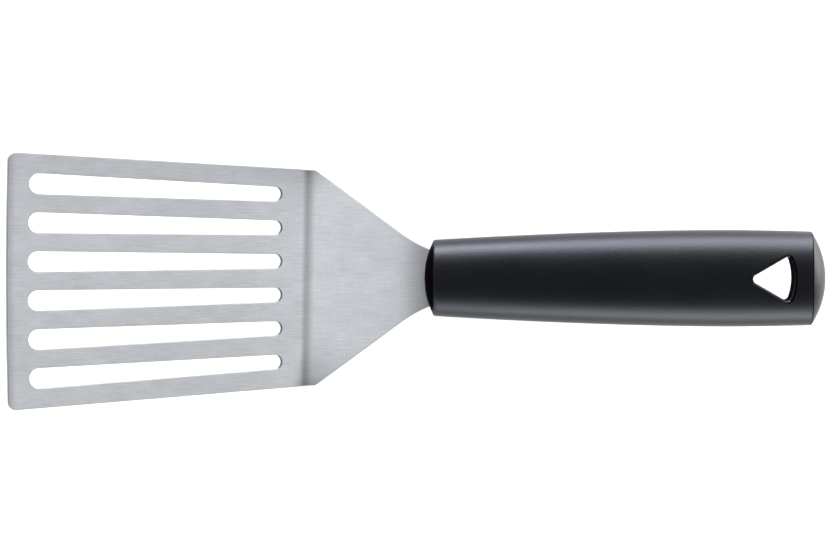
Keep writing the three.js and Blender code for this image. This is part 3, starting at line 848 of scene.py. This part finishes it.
def grip(finishes):
    """The grip: its skin as rings along a closed profile, less a window above and below, which the
    hanging hole's surface fills. The finishes are those of the skin, the hole's wall, lightened as painted
    light, its rims, and the painted shade on the ends of the skin in the seams beside the caps."""
    s, inset, share = grip_profile()
    width, thickness = grip_half_sizes(s)
    rings = section_rings(s, share * (width - inset), share * (thickness - inset))
    faces = grid_faces(len(s), SECTION_STEPS)

    outside = np.flatnonzero((inset == 0) & (s > hole_front - HOLE_BORDER) & (s < hole_rear + HOLE_BORDER))
    rear, front = outside[0], outside[-1]
    reach = round(HOLE_BORDER_ANGLE / (2 * math.pi) * SECTION_STEPS)
    top, bottom = SECTION_STEPS // 4, 3 * SECTION_STEPS // 4
    kept = np.ones(faces.shape[:2], bool)
    for middle in (top, bottom):
        kept[rear:front, middle - reach:middle + reach] = False

    left, right = top - reach, top + reach
    border = np.concatenate([
        rings[front, top:right],
        rings[rear + 1:front + 1, right][::-1],
        rings[rear, left + 1:right + 1][::-1],
        rings[rear:front, left],
        rings[front, left:top],
    ])
    # Painted shade in the seams: the skin's ends beside the caps and the front rim's part beside the collar
    beside_cap = (inset > 0) & ((s < DARK_RIM_DEPTH) | (s > hole_rear))
    in_seam = (beside_cap[:-1] & beside_cap[1:])[:, None]
    skin = rings.reshape(-1, 3)
    parts = [
        (skin, faces[kept & ~in_seam], GRIP_SKIN),
        (skin, faces[kept & in_seam], GRIP_SEAM),
        *hole_surface(border),
    ]
    return make_piece("grip_skin", parts, finishes)


def rear_cap(finishes):
    """The rear cap: rings of its dome from the top to the rim, then its base and its spigot, which lie in
    the seam. The finishes are those of the dome and of the painted shade in the seam."""
    base = GRIP_LENGTH + CLEARANCE
    width, thickness = (half - RIM_RADIUS for half in grip_half_sizes(np.array(GRIP_LENGTH)))
    spigot = np.array([REAR_SPIGOT_INSET, REAR_SPIGOT_INSET]) - RIM_RADIUS
    dome_share = np.linspace(0, 1, DOME_STEPS)
    dome = base + dome_rise(dome_share, width, REAR_DOME_HEIGHT)
    spigot_end = GRIP_LENGTH - SPIGOT_LENGTH
    s = np.concatenate([dome, [base, spigot_end, spigot_end]])
    widths = np.concatenate([dome_share * width, width - spigot, [0]])
    thicknesses = np.concatenate([dome_share * thickness, thickness - spigot, [0]])
    rings = section_rings(s, widths, thicknesses)
    faces = grid_faces(*rings.shape[:2])
    points = rings.reshape(-1, 3)
    # Painted shadow in the seam: the cap's base and spigot
    seam_row = DOME_STEPS - 1
    parts = [
        (points, faces[:seam_row].reshape(-1, 4), CAP_DOME),
        (points, faces[seam_row:].reshape(-1, 4), CAP_SEAM),
    ]
    return make_piece("end_cap", parts, finishes)


def front_cap(finish):
    """The collar round the neck: a dome between a flat slot, which the neck passes through, and the rim,
    then its base, its spigot and the wall of the slot.

    Seen along the handle, the dome's points run straight from the slot to the rim, and each stands out by
    the dome's rise at its share of the section, the root of the summed powers of its two shares.
    """
    half_tang = TANG_WIDTH / 2
    meets_dome = fillet_rear - NECK_LENGTH + FRONT_DOME_HEIGHT / 2
    neck_half = half_tang + NECK_FILLET_RADIUS - math.sqrt(NECK_FILLET_RADIUS**2 - meets_dome**2)
    slot_sizes = np.array([neck_half, half_sheet]) + CLEARANCE
    full_sizes = np.array(grip_half_sizes(np.array(0.0)))
    rim_sizes = full_sizes - FRONT_RIM_RADIUS
    spigot_sizes = full_sizes - SKIN_THICKNESS - CLEARANCE

    section = unit_section(SECTION_POWER).T
    slot = unit_section(NECK_SLOT_POWER).T * slot_sizes
    share = np.linspace(0, 1, DOME_STEPS)[:, None, None]
    dome = slot * (1 - share) + section * rim_sizes * share
    out = (np.abs(dome / rim_sizes) ** SECTION_POWER).sum(-1) ** (1 / SECTION_POWER)
    height = FRONT_DOME_HEIGHT + CLEARANCE - COLLAR_SEAM
    s = -COLLAR_SEAM - dome_rise(np.minimum(out, 1), rim_sizes[0], height)

    spigot = section * spigot_sizes
    seen = np.concatenate([[slot], dome, [spigot, spigot, slot]])
    ends = np.array([-COLLAR_SEAM, SPIGOT_LENGTH, SPIGOT_LENGTH])[:, None] + np.zeros(SECTION_STEPS)
    along = np.concatenate([ends[-1:], s, ends]) + NECK_LENGTH
    points = np.concatenate([along[..., None], seen], axis=-1)
    return make_piece("front_collar", [ring_part(points)], [finish])


# Stage

def floor():
    """A pale floor. Camera, glossy and transmission rays see it lit up to white, less the tool's shadow."""
    mesh = bpy.data.meshes.new("floor")
    signs = np.array([(-1, -1), (1, -1), (1, 1), (-1, 1)])
    corners = np.column_stack([signs * FLOOR_REACH, np.full(len(signs), -FLOOR_DROP)])
    mesh.from_pydata(corners, [], [range(len(signs))])
    material = bpy.data.materials.new("pale_floor")
    material.use_nodes = True
    tree = material.node_tree
    tree.nodes.clear()
    rays = add_node(tree, "ShaderNodeLightPath").outputs
    seen = reckoned(tree, "MAXIMUM", rays["Is Camera Ray"], rays["Is Glossy Ray"])
    seen = reckoned(tree, "MAXIMUM", seen, rays["Is Transmission Ray"])
    strength = reckoned(tree, "MULTIPLY", seen, FLOOR_GLOW)
    glow = add_node(tree, "ShaderNodeEmission", {"Strength": strength}, {"Color": (1, 1, 1, 1)})
    matt = add_node(tree, "ShaderNodeBsdfDiffuse", values={"Color": FLOOR_COLOUR})
    both = add_node(tree, "ShaderNodeAddShader", {0: glow.outputs[0], 1: matt.outputs[0]})
    add_node(tree, "ShaderNodeOutputMaterial", {"Surface": both.outputs[0]})
    mesh.materials.append(material)
    plane = bpy.data.objects.new("floor", mesh)
    bpy.context.scene.collection.objects.link(plane)


def softbox(name, place, aim, size, radiance, colour):
    """A rectangular soft light that faces a point, with the radiance of its face. Its power is the radiance
    times pi times its area."""
    light = bpy.data.lights.new(name, "AREA")
    light.shape = "RECTANGLE"
    light.size, light.size_y = size
    light.energy = radiance * math.pi * size[0] * size[1]
    light.color = colour
    lamp = bpy.data.objects.new(name, light)
    lamp.location = place
    lamp.rotation_euler = (Vector(aim) - Vector(place)).to_track_quat("-Z", "Y").to_euler()
    lamp.visible_camera = False
    bpy.context.scene.collection.objects.link(lamp)


def studio_light():
    """The softboxes of the table of lamps, in a dim room."""
    for lamp in LAMPS:
        softbox(*lamp)
    world = bpy.data.worlds.new("room")
    bpy.context.scene.world = world
    world.use_nodes = True
    background = world.node_tree.nodes["Background"]
    background.inputs["Color"].default_value = ROOM_COLOUR
    background.inputs["Strength"].default_value = ROOM_STRENGTH


def camera():
    """A long lens square to the handle, tipped a little across it, framed as in the photo."""
    data = bpy.data.cameras.new("camera")
    data.sensor_width = SENSOR_WIDTH
    data.sensor_fit = "HORIZONTAL"
    data.lens = SENSOR_WIDTH * CAMERA_DISTANCE / FRAME_WIDTH
    eye = bpy.data.objects.new("camera", data)
    tipped = Matrix.Rotation(-CAMERA_TILT, 4, "X") @ Matrix.Rotation(CAMERA_ROLL, 4, "Z")
    aim = Matrix.Translation((AIM_BEHIND_BEND, AIM_ACROSS, 0))
    eye.matrix_world = tool_to_row @ aim @ tipped @ Matrix.Translation((0, 0, CAMERA_DISTANCE))
    bpy.context.scene.collection.objects.link(eye)
    bpy.context.scene.camera = eye


def place_pieces():
    """The modelled pieces in place of their CAD nodes, and finishes for the nodes that stay."""
    black = satin_plastic(
        "black_plastic", BLACK_COLOURS, SKIN_ROUGHNESS, SKIN_GRAIN, SKIN_DEPTH, **SKIN_GLOSS
    )
    polished = satin_plastic("polished_rim", BLACK_COLOURS, HOLE_RIM_ROUGHNESS, CAP_GRAIN, PLAIN_DEPTH)
    capped = satin_plastic("cap_plastic", BLACK_COLOURS, CAP_ROUGHNESS, CAP_GRAIN, CAP_DEPTH)
    # Painted shade: the black copy that hardly reflects, for the collar, the seams and the dark rims
    shade_black = satin_plastic("shade_black_plastic", SHADE_BLACK_COLOURS, SHADE_BLACK_ROUGHNESS, CAP_GRAIN, PLAIN_DEPTH, **SHADE_BLACK_GLOSS)
    grey = satin_plastic("grey_plastic", CORE_COLOURS, CORE_ROUGHNESS, CORE_GRAIN, PLAIN_DEPTH)
    steel = drawn_steel()
    for piece, node, slot in (
        (blade(), "blade", "blade_steel"),
        (front_cap(shade_black), "front_cap", "cap_plastic"),
        (grip([black, lightened_wall_plastic(), polished, shade_black]), "grip", "grip_plastic"),
        (rear_cap([capped, shade_black]), "rear_cap", "cap_plastic"),
    ):
        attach(piece, "root")
        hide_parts(node)
    for name, finish in (
        ("core_upper", grey),
        ("core_lower", grey),
        ("tang_pin_front", steel),
        ("tang_pin_rear", steel),
    ):
        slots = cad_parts[name].data.materials
        slots.clear()
        slots.append(finish)


camera()
studio_light()
floor()
place_pieces()
bpy.context.scene.view_settings.view_transform = "Standard"
